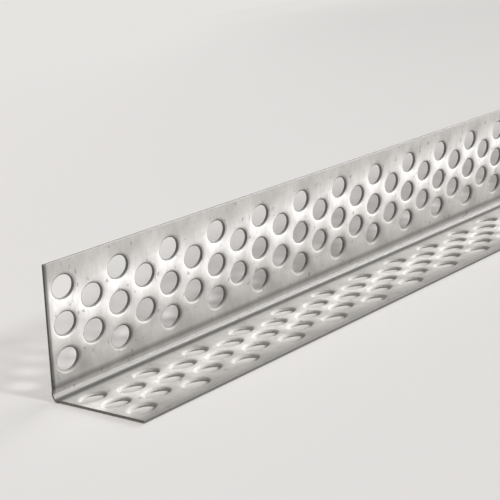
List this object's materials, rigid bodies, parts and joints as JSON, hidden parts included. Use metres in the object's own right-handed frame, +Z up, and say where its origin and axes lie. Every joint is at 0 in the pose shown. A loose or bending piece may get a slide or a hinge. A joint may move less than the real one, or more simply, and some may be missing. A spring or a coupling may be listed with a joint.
{
  "type": "drywall corner bead",
  "caption": "Perforated galvanised steel angle with a small rolled nose along its corner, fixed over an outside wall corner before plastering or jointing.",
  "frame": {"origin": "bottom centre of the bead's box, on the surface that it lies on", "axes": "+X along the bead, +Y from the lower leg's free edge towards the nose, +Z up"},
  "size_m": [1, 0.03, 0.0295],
  "materials": {
    "galvanised_steel": "matt hot-dip galvanised sheet with fine streaks across the strip"
  },
  "bodies": {
    "root": {"bead_strip_left": "galvanised_steel", "bead_strip_right": "galvanised_steel"}
  },
  "joints": []
}
